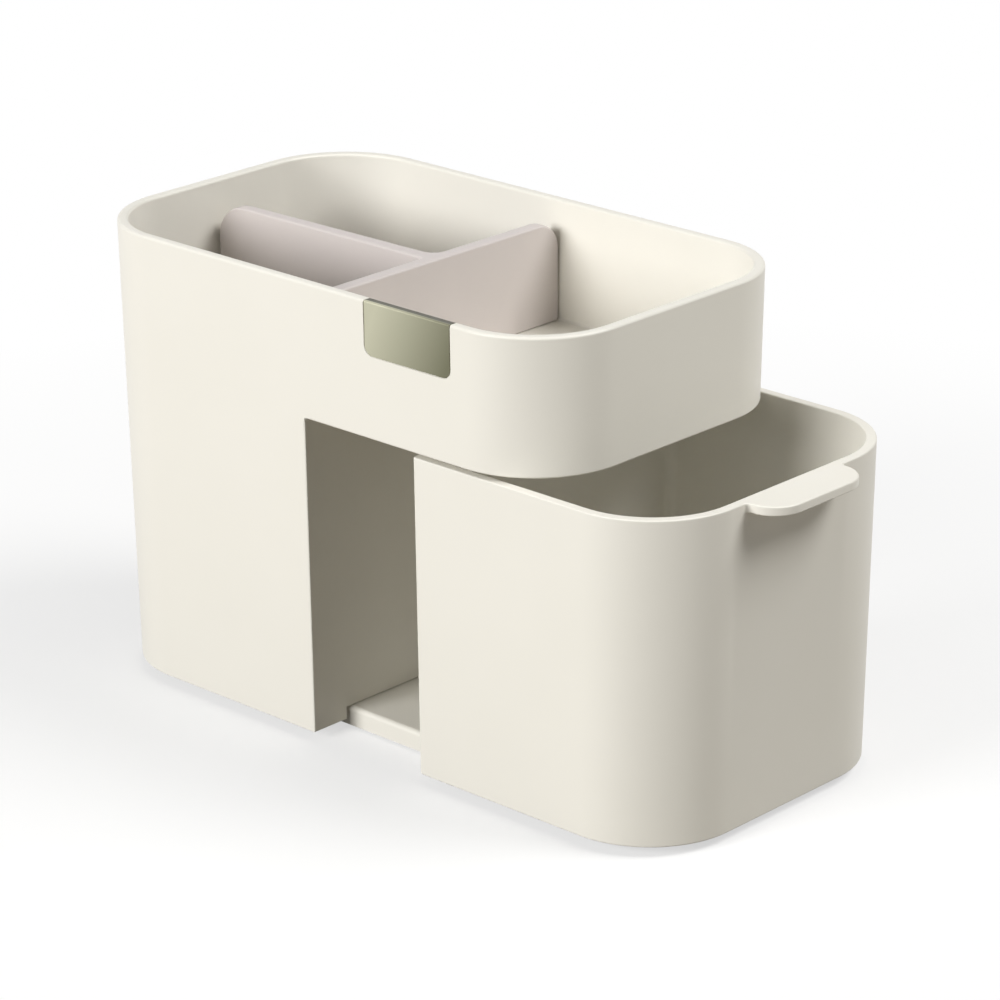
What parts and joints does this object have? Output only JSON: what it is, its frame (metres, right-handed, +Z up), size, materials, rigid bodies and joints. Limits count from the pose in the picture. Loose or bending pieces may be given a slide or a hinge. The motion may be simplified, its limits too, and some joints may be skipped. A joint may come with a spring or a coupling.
{
  "type": "makeup organizer with drawer",
  "caption": "Vanity organizer: deep compartment and shallow tray with a lift-out T-shaped divider, and a pull-out drawer with a finger tab under the tray.",
  "frame": {"origin": "on the table, in the middle of the whole footprint with the drawer at rest", "axes": "+X the way the drawer opens, -Y the front with the badge, +Z up; rest pose: the drawer stands 45 mm out"},
  "size_m": [0.2586, 0.12, 0.1526],
  "materials": {
    "cream_plastic": "fine satin, moulded",
    "divider_plastic": "fine satin, moulded",
    "badge_metal": "satin, champagne",
    "adhesive_film": "film",
    "steel": "zinc plated",
    "rubber": "matt",
    "keeper_plastic": "plain, low-friction"
  },
  "bodies": {
    "body": {"body_shell": "cream_plastic", "base_plate": "cream_plastic", "base_screws": "steel", "foot_front_left": "rubber", "foot_front_right": "rubber", "foot_back_left": "rubber", "foot_back_right": "rubber", "badge_plate": "badge_metal", "badge_adhesive": "adhesive_film"},
    "drawer": {"drawer": "cream_plastic", "drawer_keeper": "keeper_plastic", "keeper_screws": "steel"},
    "divider": {"divider": "divider_plastic"}
  },
  "joints": [
    {"name": "drawer_slide", "type": "slide", "parent": "body", "child": "drawer", "axis": [1, 0, 0], "range_m": [-0.04535, 0.01465]},
    {"name": "divider_lift", "type": "slide", "parent": "body", "child": "divider", "axis": [0, 0, 1], "range_m": [0, 0.14]}
  ]
}
